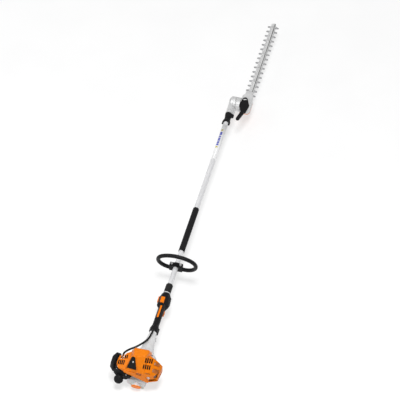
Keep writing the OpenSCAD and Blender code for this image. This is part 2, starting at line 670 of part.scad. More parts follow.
module crank_gear() color(steel) on_axis() translate([blade_x, hinge_y, 0]) {
    translate([0, 0, -15.5]) cylinder(h = 2.6, r = crown_r);
    translate([0, 0, -13.2]) crown_teeth(2.5);
    translate([0, 0, -13]) cylinder(h = 33, r = 4);
    for (k = [0:1]) translate([(k == 0 ? 1 : -1) * blade_throw, 0, -18.2 - 2.7 * k])
        cylinder(h = 2.72, r = 10.5);
}
// Plan outline of the cutter's gear housing, measured from the hinge.
module head_outline() at_hinge() polygon([[40, -24], [50, -29], [82, -28], [91, -16], [92, 20],
    [92, 50], [82, 80], [50.5, 80], [50.5, 62], [40, 46]]);
module gear_housing() color(silver) on_axis() difference() {
    union() {
        at_hinge() x_rod(head_left_x, 40 + tiny, hub_r);
        translate([0, 0, cover_top_h]) linear_extrude(54) head_outline();
    }
    // gear chamber
    translate([blade_x, hinge_y, -40]) cylinder(h = 44, r = 23.5);
    at_hinge() x_rod(42.6, 54, 12.4);
    at_hinge() x_rod(head_left_x - 1, 44, cross_shaft_r + run_gap);
    translate([blade_x, hinge_y, 0]) cylinder(h = 21, r = 4 + run_gap);
    // blade channel
    at_hinge() box([blade_x - slot_half_w, 0, -40], [blade_x + slot_half_w, 90, guide_h]);
    at_hinge() box([blade_x - guide_w / 2, 26, -40],
        [blade_x + guide_w / 2, 90, guide_h + guide_t]);
    // notches for the lock bolt
    for (a = [-55:13.18:90]) at_hinge() rotate([-a, 0, 0]) translate([bolt_x, -hub_r - 1, 0])
        y_rod(0, 6, 3.6);
}
module base_cover() color(orange) on_axis() difference() {
    translate([0, 0, cover_top_h - 4]) linear_extrude(4 - tiny) head_outline();
    at_hinge() box([blade_x - 20, 66, -40], [blade_x + 20, 90, -20]);
}
module adjusting_handle() color(black) on_axis() difference() {
    translate([0, hinge_y, 24.02]) linear_extrude(8) union() {
        hull() {
            translate([70, -66]) circle(r = 14.5, $fn = 32);
            translate([65.2, -28]) circle(r = 25, $fn = 32);
            translate([60, 14]) circle(r = 13, $fn = 32);
        }
        hull() {
            translate([68, -74]) circle(r = 10, $fn = 32);
            translate([55, -125]) circle(r = 9, $fn = 32);
        }
    }
    translate([60, hinge_y + 12, 20]) linear_extrude(20) hull() {
        translate([-4, -2]) circle(r = 4.4, $fn = 24);
        translate([4, 1]) circle(r = 4.4, $fn = 24);
    }
}
module link_eye(offset_x) translate([blade_x, hinge_y]) difference() {
    union() {
        circle(r = 14.5);
        translate([-3.2, 12]) square([6.4, 30]);
        translate([0, 46]) circle(r = 6);
    }
    translate([offset_x, 0]) circle(r = 4);
}
module upper_link() color(steel) on_axis() translate([0, 0, upper_blade_h - blade_t])
    linear_extrude(blade_t) link_eye(blade_throw);
module lower_link() color(steel) on_axis() translate([0, 0, lower_blade_h - blade_t])
    linear_extrude(blade_t) link_eye(-blade_throw);
// A pair of teeth, one on each side of the blade.
tooth_half = [[10, -8], [blade_w / 2, -3], [blade_w / 2, 1], [blade_w / 2 - 2, 3], [10, 8]];
module tooth_pair() polygon(concat(tooth_half, [for (i = [4:-1:0]) [-tooth_half[i][0], tooth_half[i][1]]]));
module blade_2d() difference() {
    union() {
        half_w = blade_body_w / 2;
        translate([blade_x, 0]) polygon([[-half_w, blade_start_y], [half_w, blade_start_y],
            [half_w, blade_tip_y - 14], [4, blade_tip_y + 6], [-4, blade_tip_y + 6],
            [-half_w, blade_tip_y - 14]]);
        for (i = [0:tooth_count - 1]) translate([blade_x, tooth_start_y + i * tooth_pitch]) tooth_pair();
    }
    translate([blade_x, hinge_y + 46]) circle(r = 6 + tiny);
    translate([blade_x - 3.3, blade_start_y - 1]) square([6.6, 4]);
    for (y = blade_bolt_y) translate([blade_x, y]) {
        square([8.6, slot_len - 8.6], center = true);
        for (end = [-1, 1]) translate([0, end * (slot_len - 8.6) / 2]) circle(r = 4.3);
    }
}
module upper_blade() color(silver) on_axis() translate([0, 0, upper_blade_h - blade_t])
    linear_extrude(blade_t) blade_2d();
module lower_blade() color(steel) on_axis() translate([0, 0, lower_blade_h - blade_t])
    linear_extrude(blade_t) blade_2d();
module guide_bar() color(silver) on_axis() difference() {
    translate([0, 0, guide_h]) linear_extrude(guide_t) union() {
        translate([blade_x - guide_w / 2, guide_start_y])
            square([guide_w, blade_tip_y - guide_start_y - 12]);
        translate([blade_x, blade_tip_y - 12.1]) circle(r = 12);
    }
    translate([0, 0, guide_h + 3]) linear_extrude(10)
        translate([blade_x - guide_w / 2 + 3, guide_start_y + 60])
            square([guide_w - 6, blade_tip_y - guide_start_y - 77]);
    for (y = blade_bolt_y) translate([blade_x, y, -40]) cylinder(h = 40, r = 4);
}
module blade_bolts() color(steel) on_axis() for (y = blade_bolt_y) translate([blade_x, y, 0]) {
    translate([0, 0, lower_blade_h - blade_t - 5]) cylinder(h = 12 + blade_t, r = 3.98);
    translate([0, 0, guide_h + 3]) cylinder(h = 4, r = 7);
    translate([0, 0, lower_blade_h - blade_t - gap - 4]) cylinder(h = 4, r = 8);
}

crankcase();
cylinder_head();  // cylinder
piston();
rod_pins();
connecting_rod();
crankshaft();
main_bearings();
flywheel_fan();
clutch_shoes();
clutch_drum();
fan_housing();
housing_screws();
engine_shroud();
plug_cover();
air_filter_cover();
filter_element();
filter_base();
carburetor();
choke_lever();
primer_bulb();
muffler();
spark_plug();
starter_housing();
rope_pulley();
starter_grip();
fuel_tank();
fuel_cap();
drive_tube();
drive_shaft();
shaft_bushes();
foam_grip();
loop_handle();
loop_clamp();
clamp_bolts();
handle_left();
handle_right();
throttle_trigger();
lockout_lever();
stop_button();
speed_slider();
rubber_collar();
collar_ring();
throttle_cable();
lock_sleeve();
sleeve_spring();
spring_seat();
lock_bolt();
gear_arm();
gear_housing();
base_cover();
adjusting_handle();
shaft_pinion();
cross_shaft();
crank_gear();
upper_link();
lower_link();
upper_blade();
lower_blade();
guide_bar();
blade_bolts();
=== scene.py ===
"""Visual model of a long-reach petrol hedge trimmer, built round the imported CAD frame.

Everything is in metres in the CAD frame: +Y along the shaft, +Z up, the ground at z = 0.
"""

import json
import math

import bmesh
import bpy
from mathutils import Matrix, Vector
from mathutils.bvhtree import BVHTree


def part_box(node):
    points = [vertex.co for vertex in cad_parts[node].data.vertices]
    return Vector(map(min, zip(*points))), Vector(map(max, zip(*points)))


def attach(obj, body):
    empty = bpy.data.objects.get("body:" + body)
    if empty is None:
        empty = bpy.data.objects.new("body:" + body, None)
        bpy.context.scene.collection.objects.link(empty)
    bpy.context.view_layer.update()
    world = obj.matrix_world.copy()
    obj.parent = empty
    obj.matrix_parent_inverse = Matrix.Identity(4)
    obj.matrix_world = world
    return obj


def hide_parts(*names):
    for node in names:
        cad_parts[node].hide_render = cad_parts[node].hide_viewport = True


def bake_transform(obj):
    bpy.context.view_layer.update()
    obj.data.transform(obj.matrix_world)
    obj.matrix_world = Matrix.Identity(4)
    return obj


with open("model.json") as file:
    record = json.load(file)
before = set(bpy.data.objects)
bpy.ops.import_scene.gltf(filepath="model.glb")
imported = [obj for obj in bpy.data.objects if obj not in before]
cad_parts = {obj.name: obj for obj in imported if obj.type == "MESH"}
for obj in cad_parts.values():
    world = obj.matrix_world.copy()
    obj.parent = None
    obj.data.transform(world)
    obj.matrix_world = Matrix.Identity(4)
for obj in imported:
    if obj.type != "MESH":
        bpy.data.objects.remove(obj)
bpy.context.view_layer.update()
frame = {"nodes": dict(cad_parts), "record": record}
nodes = frame["nodes"]

# ---------------------------------------------------------------- stations read from the CAD
MM = 0.001
tube_low, tube_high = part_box("drive_tube")
AXIS_Z = (tube_low.z + tube_high.z) / 2
TUBE_R = (tube_high.z - tube_low.z) / 2
HINGE_Y = (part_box("cross_shaft")[0].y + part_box("cross_shaft")[1].y) / 2
blade_low, blade_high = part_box("upper_blade")
BLADE_X = (blade_low.x + blade_high.x) / 2
BLADE_HALF = (blade_high.x - blade_low.x) / 2
SHAFT_LINE = Vector((0, 0, AXIS_Z))


# ---------------------------------------------------------------- material helpers
class Nodes:
    """A small builder for one material's node tree."""

    def __init__(self, name):
        self.material = bpy.data.materials.new(name)
        self.material.use_nodes = True
        self.tree = self.material.node_tree
        self.shader = self.tree.nodes["Principled BSDF"]
        self.place = self.add("ShaderNodeTexCoord").outputs["Object"]

    def add(self, kind, **settings):
        node = self.tree.nodes.new(kind)
        for key, value in settings.items():
            setattr(node, key, value)
        return node

    def link(self, source, target):
        self.tree.links.new(source, target)

    def constants(self, **values):
        for key, value in values.items():
            self.shader.inputs[key.replace("_", " ")].default_value = value

    def stretched(self, scale):
        mapping = self.add("ShaderNodeMapping")
        mapping.inputs["Scale"].default_value = scale
        self.link(self.place, mapping.inputs["Vector"])
        return mapping.outputs["Vector"]

    def noise(self, scale, detail=4.0, rough=0.55, vector=None):
        node = self.add("ShaderNodeTexNoise")
        node.inputs["Scale"].default_value = scale
        node.inputs["Detail"].default_value = detail
        node.inputs["Roughness"].default_value = rough
        self.link(vector or self.place, node.inputs["Vector"])
        return node.outputs["Fac"]

    def cells(self, scale):
        node = self.add("ShaderNodeTexVoronoi", feature="F1")
        node.inputs["Scale"].default_value = scale
        self.link(self.place, node.inputs["Vector"])
        return node.outputs["Distance"]

    def remap(self, value, low, high, out_low, out_high):
        node = self.add("ShaderNodeMapRange")
        for key, number in zip(("From Min", "From Max", "To Min", "To Max"),
                               (low, high, out_low, out_high)):
            node.inputs[key].default_value = number
        self.link(value, node.inputs["Value"])
        return node.outputs["Result"]

    def ramp(self, value, stops):
        node = self.add("ShaderNodeValToRGB")
        node.color_ramp.elements[0].position = stops[0][0]
        node.color_ramp.elements[0].color = (*stops[0][1], 1)
        node.color_ramp.elements[1].position = stops[-1][0]
        node.color_ramp.elements[1].color = (*stops[-1][1], 1)
        for position, color in stops[1:-1]:
            node.color_ramp.elements.new(position).color = (*color, 1)
        self.link(value, node.inputs["Fac"])
        return node.outputs["Color"]

    def mix(self, factor, first, second):
        node = self.add("ShaderNodeMix", data_type="RGBA")
        self.link(factor, node.inputs["Factor"])
        for socket, source in ((node.inputs["A"], first), (node.inputs["B"], second)):
            if isinstance(source, tuple):
                socket.default_value = (*source, 1)
            else:
                self.link(source, socket)
        return node.outputs["Result"]

    def bump(self, height, strength, distance, under=None):
        node = self.add("ShaderNodeBump")
        node.inputs["Strength"].default_value = strength
        node.inputs["Distance"].default_value = distance
        self.link(height, node.inputs["Height"])
        if under is not None:
            self.link(under, node.inputs["Normal"])
        return node.outputs["Normal"]

    def color(self, source):
        self.link(source, self.shader.inputs["Base Color"])

    def roughness(self, source):
        self.link(source, self.shader.inputs["Roughness"])

    def normal(self, source):
        self.link(source, self.shader.inputs["Normal"])

    def axis(self, letter):
        node = self.add("ShaderNodeSeparateXYZ")
        self.link(self.place, node.inputs["Vector"])
        return node.outputs[letter]

    def math(self, operation, first, second=0.0):
        node = self.add("ShaderNodeMath", operation=operation)
        for socket, source in zip(node.inputs, (first, second)):
            if isinstance(source, (int, float)):
                socket.default_value = source
            else:
                self.link(source, socket)
        return node.outputs["Value"]


def shade(color, factor):
    return tuple(min(1.0, channel * factor) for channel in color)


def moulded(name, color, rough, grain=0.25, dust=0.12, gloss=0.3):
    """Injection-moulded plastic: fine grain, slow colour drift, and a little dust in patches."""
    m = Nodes(name)
    drift = m.noise(14, 3)
    body = m.ramp(drift, [(0.3, shade(color, 0.86)), (0.7, shade(color, 1.08))])
    patches = m.remap(m.noise(42, 6, 0.7), 0.52, 0.78, 0.0, dust)
    m.color(m.mix(patches, body, tuple(0.8 * channel + 0.05 for channel in color)))
    m.roughness(m.remap(m.noise(90, 4, 0.6), 0.3, 0.75, rough - 0.05, rough + 0.12))
    m.normal(m.bump(m.cells(1900), grain, 0.00012, m.bump(m.noise(260, 3), 0.1, 0.0003)))
    m.constants(Specular_IOR_Level=gloss, IOR=1.48)
    return m.material


def cast_metal(name, color, rough, metallic=0.3):
    """Die-cast aluminium: blasted skin with soft dents and darker pores."""
    m = Nodes(name)
    body = m.ramp(m.noise(30, 5, 0.6), [(0.3, shade(color, 0.8)), (0.72, shade(color, 1.08))])
    pores = m.remap(m.cells(520), 0.0, 0.22, 0.55, 0.0)
    m.color(m.mix(pores, body, shade(color, 0.55)))
    m.roughness(m.remap(m.noise(160, 4), 0.3, 0.7, rough - 0.08, rough + 0.12))
    m.normal(m.bump(m.noise(900, 4, 0.7), 0.35, 0.0003, m.bump(m.noise(70, 2), 0.15, 0.0008)))
    m.constants(Metallic=metallic, Specular_IOR_Level=0.35)
    return m.material


def brushed(name, color, rough, scale, metallic=0.9):
    """Machined or ground steel: fine lines along one axis and faint smudges."""
    m = Nodes(name)
    lines = m.noise(1.0, 5, 0.7, m.stretched(scale))
    body = m.ramp(lines, [(0.3, shade(color, 0.8)), (0.7, shade(color, 1.1))])
    smudge = m.remap(m.noise(28, 5, 0.65), 0.5, 0.75, 0.0, 0.3)
    m.color(m.mix(smudge, body, shade(color, 0.72)))
    m.roughness(m.remap(lines, 0.3, 0.7, rough - 0.07, rough + 0.1))
    m.normal(m.bump(lines, 0.18, 0.0002))
    m.constants(Metallic=metallic)
    return m.material


def foam(name):
    """Closed-cell foam rubber: open pores of two sizes, very matt."""
    m = Nodes(name)
    coarse = m.cells(620)
    body = m.ramp(coarse, [(0.05, (0.003, 0.003, 0.003)), (0.5, (0.012, 0.012, 0.013))])
    m.color(m.mix(m.remap(m.noise(18, 4), 0.5, 0.8, 0.0, 0.3), body, (0.03, 0.03, 0.03)))
    m.roughness(m.remap(coarse, 0.0, 0.6, 0.98, 0.82))
    m.normal(m.bump(coarse, 0.7, 0.0006, m.bump(m.cells(1700), 0.4, 0.0003)))
    m.constants(Specular_IOR_Level=0.2)
    return m.material


def rubber(name, color, rough=0.6):
    m = Nodes(name)
    m.color(m.ramp(m.noise(36, 5, 0.65), [(0.35, shade(color, 0.7)), (0.75, shade(color, 1.6))]))
    m.roughness(m.remap(m.noise(70, 4), 0.3, 0.75, rough - 0.1, rough + 0.15))
    m.normal(m.bump(m.noise(1400, 3), 0.25, 0.0002))
    m.constants(Specular_IOR_Level=0.25)
    return m.material


def gloss_paint(name, color):
    """Painted tube: clear gloss with orange peel and hair-line scratches along the tube."""
    m = Nodes(name)
    body = m.ramp(m.noise(9, 3), [(0.3, shade(color, 0.95)), (0.7, shade(color, 1.03))])
    scratch = m.remap(m.noise(1.0, 5, 0.75, m.stretched((900, 9, 900))), 0.62, 0.75, 0.0, 0.35)
    m.color(m.mix(scratch, body, shade(color, 0.72)))
    m.roughness(m.remap(m.noise(60, 4), 0.3, 0.75, 0.22, 0.38))
    m.normal(m.bump(m.noise(420, 2), 0.08, 0.0003))
    m.constants(Coat_Weight=0.4, Coat_Roughness=0.12)
    return m.material


def tank_plastic(name):
    """Blow-moulded translucent tank: milky, darker towards the fuel level."""
    m = Nodes(name)
    height = m.axis("Z")
    fuel = m.remap(m.math("ADD", height, m.math("MULTIPLY", m.noise(60, 2), 0.002)),
                   0.026, 0.030, 1.0, 0.0)
    m.color(m.mix(fuel, (0.68, 0.68, 0.68), (0.60, 0.59, 0.55)))
    m.roughness(m.remap(m.noise(120, 4), 0.3, 0.7, 0.42, 0.58))
    m.normal(m.bump(m.noise(500, 3), 0.15, 0.0003, m.bump(m.noise(22, 2), 0.12, 0.002)))
    m.constants(Subsurface_Weight=0.15, Subsurface_Scale=0.01)
    return m.material


def blade_metal(name, color, tip_color):
    """Ground blade: lines across the teeth, dark ground bevels out at the tooth tips."""
    m = Nodes(name)
    lines = m.noise(1.0, 5, 0.7, m.stretched((60, 1400, 60)))
    body = m.ramp(lines, [(0.3, shade(color, 0.84)), (0.72, shade(color, 1.06))])
    across = m.math("ABSOLUTE", m.math("SUBTRACT", m.axis("X"), BLADE_X))
    tip = m.remap(across, BLADE_HALF - 0.0095, BLADE_HALF - 0.0065, 0.0, 1.0)
    stain = m.remap(m.noise(34, 6, 0.7), 0.55, 0.75, 0.0, 0.35)
    m.color(m.mix(tip, m.mix(stain, body, shade(color, 0.7)), tip_color))
    m.roughness(m.remap(lines, 0.3, 0.7, 0.26, 0.46))
    m.normal(m.bump(lines, 0.15, 0.0002))
    m.constants(Metallic=0.5)
    return m.material


def bar_metal(name, color):
    """Extruded guide bar: draw lines along it, and a painted shade strip along one side of the
    channel.
    """
    m = Nodes(name)
    lines = m.noise(1.0, 5, 0.7, m.stretched((900, 10, 900)))
    body = m.ramp(lines, [(0.3, shade(color, 0.84)), (0.7, shade(color, 1.08))])
    # Painted shade: a dark strip in the channel along the right side of the bar, standing in for the
    # shadow of its side wall.
    edge = m.math("ADD", m.axis("X"), m.math("MULTIPLY", m.noise(90, 4), 0.0012))
    inner = m.remap(edge, BLADE_X + 0.0042, BLADE_X + 0.0052, 0.0, 1.0)
    outer = m.remap(edge, BLADE_X + 0.0094, BLADE_X + 0.0102, 1.0, 0.0)
    channel_shade = m.math("MULTIPLY", m.math("MULTIPLY", inner, outer), 0.85)
    m.color(m.mix(channel_shade, body, (0.11, 0.11, 0.105)))
    m.roughness(m.remap(lines, 0.3, 0.7, 0.36, 0.54))
    m.normal(m.bump(lines, 0.18, 0.0002))
    m.constants(Metallic=0.3)
    return m.material


def label_film(name, start, end):
    """A plain printed sleeve on the tube: blocks of yellow and blue on white, no lettering."""
    m = Nodes(name)
    along = m.remap(m.axis("Y"), start, end, 0.0, 1.0)
    ramp = m.add("ShaderNodeValToRGB")
    ramp.color_ramp.interpolation = "CONSTANT"
    white, yellow, blue = (0.80, 0.80, 0.80, 1), (0.50, 0.42, 0.03, 1), (0.10, 0.12, 0.50, 1)
    bands = [(0.0, white), (0.32, yellow), (0.355, white), (0.38, blue), (0.43, white), (0.445, blue),
             (0.50, white), (0.515, blue), (0.60, white), (0.615, blue), (0.66, white), (0.68, blue),
             (0.775, white), (0.81, yellow), (0.845, white)]
    elements = ramp.color_ramp.elements
    elements[0].position, elements[0].color = bands[0]
    elements[1].position, elements[1].color = bands[-1]
    for position, color in bands[1:-1]:
        elements.new(position).color = color
    m.link(along, ramp.inputs["Fac"])
    # The printing is a narrow strip along the upper left of the sleeve.
    side = m.math("SUBTRACT", m.axis("Z"), AXIS_Z)
    printed = m.remap(side, 0.001, 0.0016, 0.0, 1.0)
    strip = m.math("ABSOLUTE", m.math("ADD", m.axis("X"), 0.0045))
    shown = m.math("MULTIPLY", printed, m.remap(strip, 0.0058, 0.0063, 1.0, 0.0))
    m.color(m.mix(shown, (0.80, 0.80, 0.80), ramp.outputs["Color"]))
    m.roughness(m.remap(m.noise(60, 4), 0.3, 0.75, 0.28, 0.42))
    m.normal(m.bump(m.noise(300, 2), 0.06, 0.0002))
    return m.material


ORANGE = (0.80, 0.200, 0.001)
BLACK = (0.009, 0.009, 0.010)
CONTROL_ORANGE = (0.88, 0.21, 0.004)
LOOKS = {
    "shroud_orange": moulded("shroud plastic", ORANGE, 0.28, 0.12, 0.05, 0.22),
    "control_orange": moulded("control plastic", CONTROL_ORANGE, 0.38, 0.2, 0.05, 0.18),
    "cover_orange": moulded("cover paint", CONTROL_ORANGE, 0.34, 0.1, 0.06, 0.2),
    "black_plastic": moulded("black plastic", BLACK, 0.5, 0.5, 0.06, 0.15),
    "handle_plastic": moulded("handle plastic", BLACK, 0.46, 0.6, 0.06, 0.18),
    "tank_plastic": tank_plastic("tank plastic"),
    "housing_plastic": moulded("housing plastic", (0.70, 0.70, 0.70), 0.42, 0.3, 0.05),
    "tube_paint": gloss_paint("tube paint", (0.72, 0.72, 0.73)),
    "cast_alloy": cast_metal("cast alloy", (0.74, 0.74, 0.74), 0.52),
    "silencer_steel": brushed("silencer sheet", (0.30, 0.29, 0.27), 0.38, (200, 20, 20), 0.6),
    "machined_steel": brushed("machined steel", (0.55, 0.56, 0.58), 0.30, (30, 700, 700)),
    "blade_steel": blade_metal("blade steel", (0.62, 0.62, 0.63), (0.44, 0.44, 0.45)),
    "guide_alloy": bar_metal("guide alloy", (0.80, 0.80, 0.80)),
    "screw_steel": brushed("zinc screws", (0.74, 0.74, 0.74), 0.30, (400, 400, 40), 0.5),
    "foam_rubber": foam("foam grip"),
    "collar_rubber": rubber("collar rubber", (0.016, 0.016, 0.016)),
    "cable_jacket": rubber("cable jacket", (0.010, 0.010, 0.010), 0.42),
    "bush_bronze": brushed("sintered bronze", (0.45, 0.29, 0.11), 0.5, (120, 120, 120)),
    "filter_felt": rubber("filter felt", (0.60, 0.58, 0.50), 0.85),
    "rope": rubber("rope", (0.34, 0.33, 0.30), 0.8),
    "ceramic": moulded("ceramic", (0.75, 0.75, 0.72), 0.2, 0.05, 0.02),
}


# ---------------------------------------------------------------- CAD nodes: finish and edges
# Width of the small edge rounding on each node, in mm; nodes left out get 0.4.
EDGE_MM = {"engine_shroud": 0.6, "guide_bar": 0.5, "upper_blade": 0.25, "lower_blade": 0.25,
           "fuel_tank": 0.8, "gear_housing": 1.2, "gear_arm": 1.2, "base_cover": 0.8,
           "stop_button": 1.6, "speed_slider": 1.4, "lockout_lever": 1.0, "throttle_trigger": 1.4,
           "fuel_cap": 1.2, "adjusting_handle": 1.5, "plug_cover": 1.0, "foam_grip": 1.8,
           "loop_clamp": 2.0, "lock_sleeve": 0.8, "fan_housing": 0.6, "muffler": 1.0}
UNROUNDED = {"crank_gear", "cross_shaft", "flywheel_fan", "shaft_pinion", "throttle_cable",
             "loop_handle", "sleeve_spring", "rope_pulley", "main_bearings", "shaft_bushes",
             "drive_shaft", "drive_tube"}


def round_edges(piece, width, angle=32):
    """Weld, bevel the hard edges and let the big faces keep their flat shading."""
    weld = piece.modifiers.new("weld", "WELD")
    weld.merge_threshold = 0.00002
    bevel = piece.modifiers.new("round", "BEVEL")
    bevel.width = width
    bevel.segments = 2
    bevel.limit_method = "ANGLE"
    bevel.angle_limit = math.radians(angle)
    bevel.use_clamp_overlap = True
    weighted = piece.modifiers.new("shading", "WEIGHTED_NORMAL")
    weighted.keep_sharp = False
    weighted.weight = 80


def smooth(piece):
    for face in piece.data.polygons:
        face.use_smooth = True


slot_of = {part["node"]: part["material_slot"] for part in frame["record"]["subparts"]}
for name, piece in nodes.items():
    piece.data.materials.clear()
    piece.data.materials.append(LOOKS[slot_of[name]])
    smooth(piece)
    if name in UNROUNDED:
        weld = piece.modifiers.new("weld", "WELD")
        weld.merge_threshold = 0.00002
        edges = piece.modifiers.new("edges", "EDGE_SPLIT")
        edges.split_angle = math.radians(40)
    else:
        round_edges(piece, EDGE_MM.get(name, 0.4) * MM)


# ---------------------------------------------------------------- mesh pieces
def add_piece(name, mesh, look, body):
    piece = bpy.data.objects.new(name, mesh)
    bpy.context.scene.collection.objects.link(piece)
    mesh.materials.append(look)
    smooth(piece)
    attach(piece, body)
    return piece


def mesh_from(name, build):
    """A mesh filled by build(bmesh)."""
    mesh = bpy.data.meshes.new(name)
    work = bmesh.new()
    build(work)
    bmesh.ops.remove_doubles(work, verts=work.verts, dist=1e-6)
    bmesh.ops.recalc_face_normals(work, faces=work.faces)
    work.to_mesh(mesh)
    work.free()
    return mesh


def revolve(work, outline, place, steps=32):
    """Turns [radius, height] pairs about the local Z of place; radius 0 closes the end."""
    rings = []
    for radius, height in outline:
        if radius == 0:
            rings.append([work.verts.new(place @ Vector((0, 0, height)))])
        else:
            rings.append([work.verts.new(place @ Vector((radius * math.cos(a), radius * math.sin(a),
                                                         height)))
                          for a in (2 * math.pi * k / steps for k in range(steps))])
    for low, high in zip(rings, rings[1:]):
        for k in range(steps):
            corners = [low[k % len(low)], low[(k + 1) % len(low)],
                       high[(k + 1) % len(high)], high[k % len(high)]]
            unique = list(dict.fromkeys(corners))
            if len(unique) > 2:
                work.faces.new(unique)


def prism(work, outline, thickness, place):
    """A flat plate: outline in the local XY plane, thickness along local Z."""
    low = [work.verts.new(place @ Vector((x, y, 0))) for x, y in outline]
    high = [work.verts.new(place @ Vector((x, y, thickness))) for x, y in outline]
    work.faces.new(list(reversed(low)))
    work.faces.new(high)
    count = len(outline)
    for k in range(count):
        work.faces.new([low[k], low[(k + 1) % count], high[(k + 1) % count], high[k]])


def rounded(width, height, radius, steps=5):
    """Outline of a rounded rectangle centred on the origin."""
    points = []
    for cx, cy, start in ((1, 1, 0), (-1, 1, 90), (-1, -1, 180), (1, -1, 270)):
        for k in range(steps + 1):
            a = math.radians(start + 90 * k / steps)
            points.append((cx * (width / 2 - radius) + radius * math.cos(a),
                           cy * (height / 2 - radius) + radius * math.sin(a)))
    return points


def pose(point, tilt=(0, 0, 0)):
    """A local frame in shaft coordinates, in mm, turned by tilt in degrees about X, Y, Z."""
    turn = Matrix.Identity(4)
    for letter, angle in zip("XYZ", tilt):
        turn = Matrix.Rotation(math.radians(angle), 4, letter) @ turn
    return Matrix.Translation(SHAFT_LINE + Vector(point) * MM) @ turn


def screw(work, place, radius, height, recess=0.5):
    """A pan-head screw with a six-sided socket, head rising along local Z."""
    r, h = radius * MM, height * MM
    revolve(work, [(0, h * 0.35), (r * recess, h * 0.35), (r * recess, h * 0.95), (r * 0.62, h),
                   (r * 0.86, h * 0.9), (r, h * 0.55), (r, 0.0), (0, 0.0)], place, 24)
    socket = [(r * recess * math.cos(k * math.pi / 3), r * recess * math.sin(k * math.pi / 3))
              for k in range(6)]
    prism(work, socket, h * 0.3, place @ Matrix.Translation((0, 0, h * 0.1)))


# ---------------------------------------------------------------- camera, light and floor
def add_camera():
    azimuth, elevation = math.radians(14.5), math.radians(48.1)
    back = Vector((math.sin(azimuth) * math.cos(elevation),
                   -math.cos(azimuth) * math.cos(elevation), math.sin(elevation)))
    right = Vector((math.cos(azimuth), math.sin(azimuth), 0))
    up = back.cross(right)
    data = bpy.data.cameras.new("camera")
    data.sensor_width = 36
    data.lens = 239.4
    data.clip_end = 60
    camera = bpy.data.objects.new("camera", data)
    turn = Matrix((right, up, back)).transposed().to_4x4()
    camera.matrix_world = Matrix.Translation((2.188, -7.363, 9.840)) @ turn
    bpy.context.scene.collection.objects.link(camera)
    bpy.context.scene.camera = camera


# The point by the shaft that all the lights face, in metres.
LIGHT_TARGET = Vector((0, 0.4, 0.1))


def add_light(name, place, size, power):
    data = bpy.data.lights.new(name, "AREA")
    data.shape = "DISK"
    data.size = size
    data.energy = power
    light = bpy.data.objects.new(name, data)
    aim = (LIGHT_TARGET - Vector(place)).to_track_quat("-Z", "Y")
    light.matrix_world = Matrix.Translation(place) @ aim.to_matrix().to_4x4()
    bpy.context.scene.collection.objects.link(light)


def add_floor():
    def build(work):
        prism(work, rounded(60, 60, 0.5), 0.05, Matrix.Translation((0, 0, -0.0505)))
    mesh = mesh_from("floor", build)
    floor = bpy.data.objects.new("floor", mesh)
    bpy.context.scene.collection.objects.link(floor)
    m = Nodes("studio floor")
    m.color(m.ramp(m.noise(3, 2), [(0.3, (0.42, 0.42, 0.42)), (0.7, (0.44, 0.44, 0.44))]))
    m.constants(Roughness=0.95, Specular_IOR_Level=0.0, Emission_Color=(1, 1, 1, 1),
                Emission_Strength=0.56)
    mesh.materials.append(m.material)


def add_world():
    """An even, slightly graded studio sky: a little darker near the horizon."""
    world = bpy.data.worlds.new("studio")
    bpy.context.scene.world = world
    world.use_nodes = True
    tree = world.node_tree
    backdrop = tree.nodes["Background"]
    backdrop.inputs["Strength"].default_value = 0.42
    place = tree.nodes.new("ShaderNodeTexCoord")
    split = tree.nodes.new("ShaderNodeSeparateXYZ")
    ramp = tree.nodes.new("ShaderNodeValToRGB")
    tree.links.new(place.outputs["Generated"], split.inputs["Vector"])
    tree.links.new(split.outputs["Z"], ramp.inputs["Fac"])
    ramp.color_ramp.elements[0].color = (0.62, 0.63, 0.65, 1)
    ramp.color_ramp.elements[1].color = (1, 1, 1, 1)
    ramp.color_ramp.elements[1].position = 0.8
    tree.links.new(ramp.outputs["Color"], backdrop.inputs["Color"])


bpy.context.scene.view_settings.view_transform = "Standard"
add_camera()
add_floor()
add_world()
add_light("key", (0.9, -1.5, 9.0), 2.6, 555)
add_light("front", (-1.5, -5.0, 3.0), 2.5, 45)
add_light("fill", (-3.5, -0.5, 3.0), 3.0, 30)


